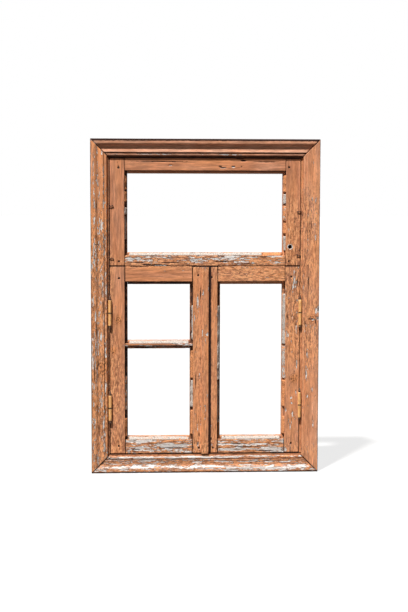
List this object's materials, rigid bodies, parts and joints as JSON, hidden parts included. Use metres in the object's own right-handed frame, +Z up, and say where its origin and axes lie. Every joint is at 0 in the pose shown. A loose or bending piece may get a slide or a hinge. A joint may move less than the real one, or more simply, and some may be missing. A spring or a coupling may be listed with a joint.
{
  "type": "wooden casement window frame with a top light",
  "caption": "Old outdoor wooden window without glass: moulded casing on a box frame, a fixed top light, and side-hung casements on lift-off hinges with a cover strip.",
  "frame": {"origin": "on the underside of the box sill, midway along it and midway through the box's depth", "axes": "+Z up the window, -Y towards outdoors, +X to the right seen from outdoors"},
  "size_m": [0.785, 0.109, 1.15],
  "materials": {
    "painted_wood": "old flaking oil paint, brown orange over a white ground",
    "bare_wood": "bare old softwood, greyed where it was open to the air",
    "peg_wood": "dark end grain of old pegs, painted over",
    "hinge_steel": "worn paint over old steel"
  },
  "bodies": {
    "root": {"astragal": "painted_wood", "box_head": "bare_wood", "box_jamb_left": "bare_wood", "box_jamb_right": "bare_wood", "box_sill": "bare_wood", "box_transom": "bare_wood", "casing_bottom": "painted_wood", "casing_left": "painted_wood", "casing_right": "painted_wood", "casing_top": "painted_wood", "hinge_lower_left_pin_half": "hinge_steel", "hinge_lower_left_sleeve_half": "hinge_steel", "hinge_lower_right_pin_half": "hinge_steel", "hinge_lower_right_sleeve_half": "hinge_steel", "hinge_upper_left_pin_half": "hinge_steel", "hinge_upper_left_sleeve_half": "hinge_steel", "hinge_upper_right_pin_half": "hinge_steel", "hinge_upper_right_sleeve_half": "hinge_steel", "left_casement_bottom_rail": "painted_wood", "left_casement_glazing_bar": "painted_wood", "left_casement_hinge_stile": "painted_wood", "left_casement_meeting_stile": "painted_wood", "left_casement_pegs": "peg_wood", "left_casement_top_rail": "painted_wood", "right_casement_bottom_rail": "painted_wood", "right_casement_hinge_stile": "painted_wood", "right_casement_meeting_stile": "painted_wood", "right_casement_pegs": "peg_wood", "right_casement_top_rail": "painted_wood", "top_light_bottom_rail": "painted_wood", "top_light_pegs": "peg_wood", "top_light_stile_left": "painted_wood", "top_light_stile_right": "painted_wood", "top_light_top_rail": "painted_wood"}
  },
  "joints": []
}
